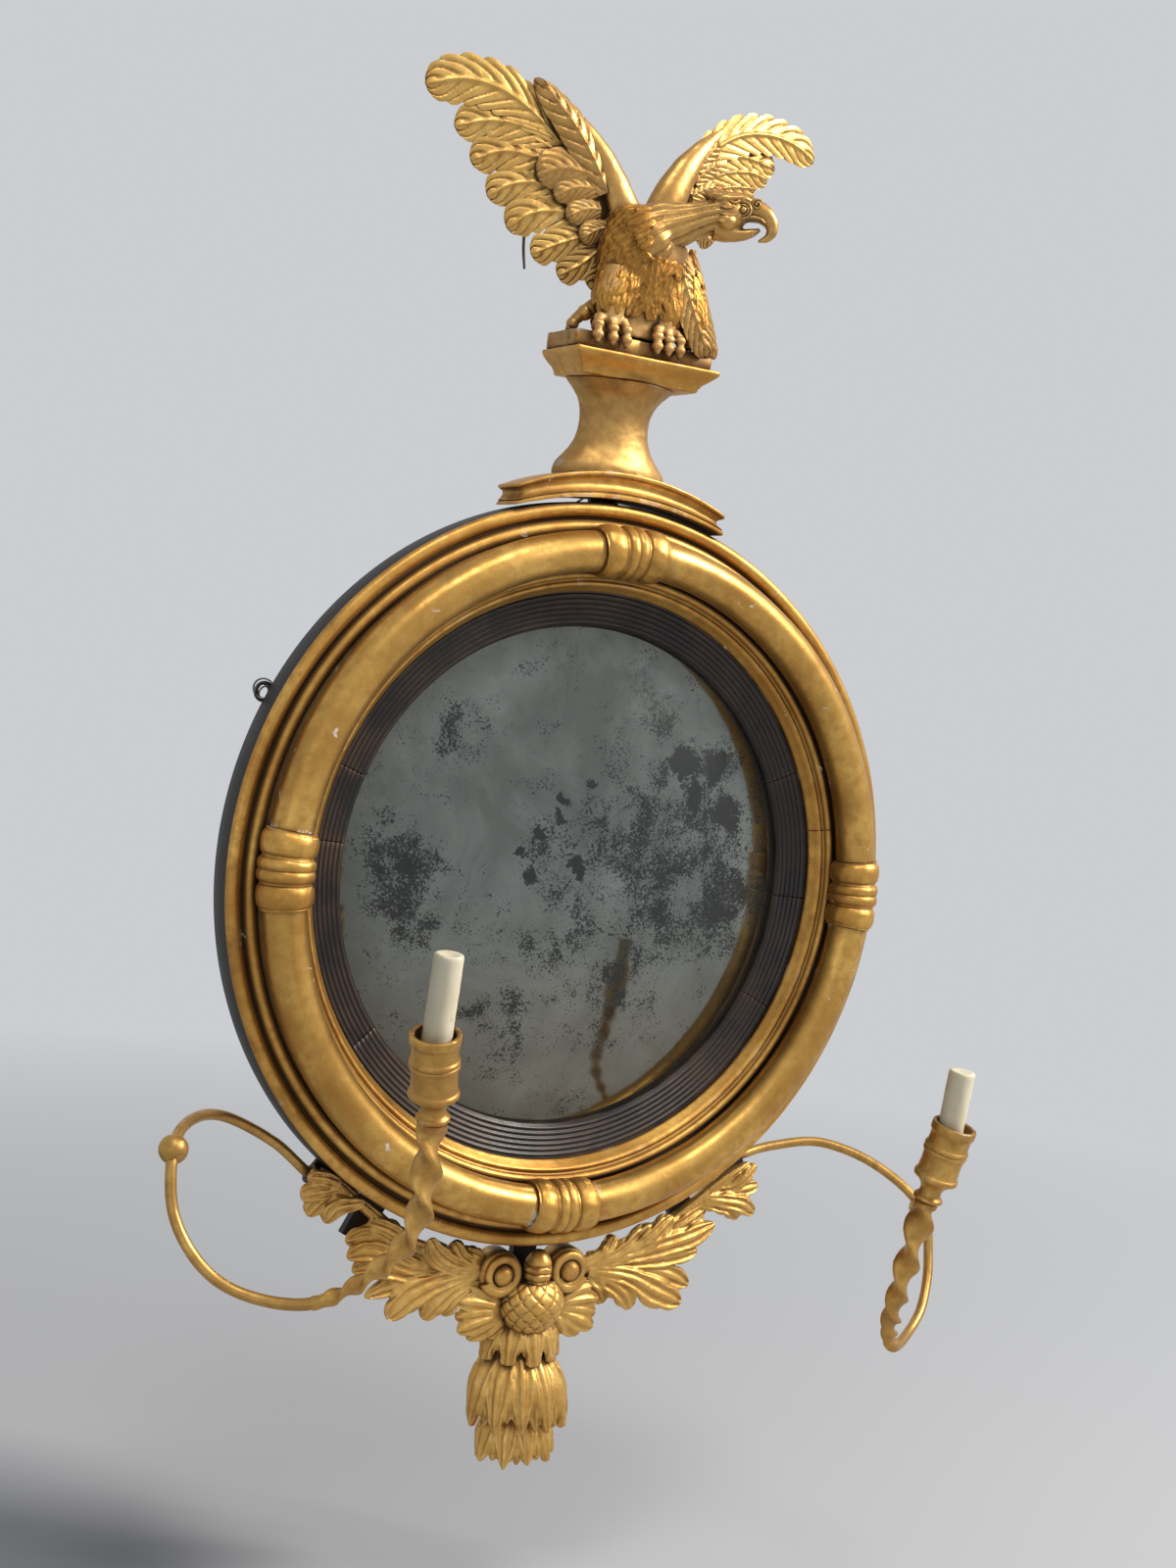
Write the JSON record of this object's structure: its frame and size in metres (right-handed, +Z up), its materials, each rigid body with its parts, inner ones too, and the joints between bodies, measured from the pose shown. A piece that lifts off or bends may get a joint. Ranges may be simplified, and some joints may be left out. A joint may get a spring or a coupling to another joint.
{
  "type": "girandole mirror",
  "caption": "Round convex wall mirror in a carved gilt frame, with an eagle crest on a plinth, an acanthus apron and scrolled candle arms.",
  "frame": {"origin": "on the axis of the round frame, at the back face of the backboard, which is the wall plane", "axes": "+Z up, +Y into the wall, so the mirror looks along -Y; +X is the right of someone facing the mirror"},
  "size_m": [0.683, 0.2648, 1.0819],
  "materials": {
    "gilt_wood": "carved wood with gesso, warm bole and worn burnished gold leaf",
    "gilt_metal": "gilded wire and turned brass with a brown patina",
    "ebonised_wood": "ebonised, reeded and softly polished",
    "silvered_glass": "old silvered convex plate with dark foxing",
    "pine": "bare old pine",
    "black_paint": "wood painted matt black",
    "old_iron": "dark old iron",
    "wax": "ivory wax, slightly translucent"
  },
  "bodies": {
    "frame": {"frame_ring": "gilt_wood", "hoop_right_top": "gilt_wood", "hoop_left_top": "gilt_wood", "hoop_left_bottom": "gilt_wood", "hoop_right_bottom": "gilt_wood", "collar_right": "gilt_wood", "collar_top": "gilt_wood", "collar_left": "gilt_wood", "collar_bottom": "gilt_wood", "inner_moulding": "gilt_wood", "slip_ring": "ebonised_wood", "mirror_plate": "silvered_glass", "glass_block_1": "pine", "glass_block_2": "pine", "glass_block_3": "pine", "glass_block_4": "pine", "backboard": "pine", "backboard_screw_1": "old_iron", "backboard_screw_2": "old_iron", "backboard_screw_3": "old_iron", "backboard_screw_4": "old_iron", "plinth_base": "gilt_wood", "plinth_shaft": "gilt_wood", "plinth_slab": "gilt_wood", "plinth_strap": "old_iron", "eagle_block": "gilt_wood", "eagle_body": "gilt_wood", "eagle_foot_left": "gilt_wood", "eagle_foot_right": "gilt_wood", "eagle_head": "gilt_wood", "eagle_wing_left": "gilt_wood", "eagle_wing_right": "gilt_wood", "eagle_tail": "gilt_wood", "arm_socket_left": "old_iron", "hanger_left": "old_iron", "arm_socket_right": "old_iron", "hanger_right": "old_iron", "apron_cleat": "black_paint", "apron_boss": "gilt_wood", "apron_leaf_left": "gilt_wood", "apron_leaf_right": "gilt_wood", "apron_calyx": "gilt_wood", "side_leaf_left": "gilt_wood", "side_leaf_right": "gilt_wood", "pendant_upper": "gilt_wood", "pendant_lower": "gilt_wood", "hanging_wire": "old_iron"},
    "arm_left": {"arm_wire_left": "gilt_metal", "arm_loop_left": "gilt_metal", "arm_ball_left": "gilt_metal", "arm_twist_left": "gilt_wood"},
    "nozzle_left": {"nozzle_left": "gilt_metal"},
    "candle_left": {"candle_left": "wax"},
    "arm_right": {"arm_wire_right": "gilt_metal", "arm_loop_right": "gilt_metal", "arm_ball_right": "gilt_metal", "arm_twist_right": "gilt_wood"},
    "nozzle_right": {"nozzle_right": "gilt_metal"},
    "candle_right": {"candle_right": "wax"}
  },
  "joints": [
    {"name": "arm_left_turn", "type": "hinge", "parent": "frame", "child": "arm_left", "pos_m": [-0.19653, -0.0141, -0.2293], "axis": [-0.8728, -0.0346, 0.4868], "range_deg": [-8, 8]},
    {"name": "nozzle_left_turn", "type": "hinge", "parent": "arm_left", "child": "nozzle_left", "pos_m": [-0.2117, -0.23425, -0.13519], "axis": [-0.1839, -0.2258, 0.9567], "continuous": true},
    {"name": "candle_left_lift", "type": "slide", "parent": "nozzle_left", "child": "candle_left", "axis": [-0.0074, -0.105, 0.9944], "range_m": [0, 0.05]},
    {"name": "arm_right_turn", "type": "hinge", "parent": "frame", "child": "arm_right", "pos_m": [0.19653, -0.0141, -0.2293], "axis": [0.8728, -0.0346, 0.4868], "range_deg": [-8, 8]},
    {"name": "nozzle_right_turn", "type": "hinge", "parent": "arm_right", "child": "nozzle_right", "pos_m": [0.21154, -0.23425, -0.20616], "axis": [0.1016, -0.2258, 0.9689], "continuous": true},
    {"name": "candle_right_lift", "type": "slide", "parent": "nozzle_right", "child": "candle_right", "axis": [0.0221, -0.105, 0.9942], "range_m": [0, 0.05]}
  ]
}
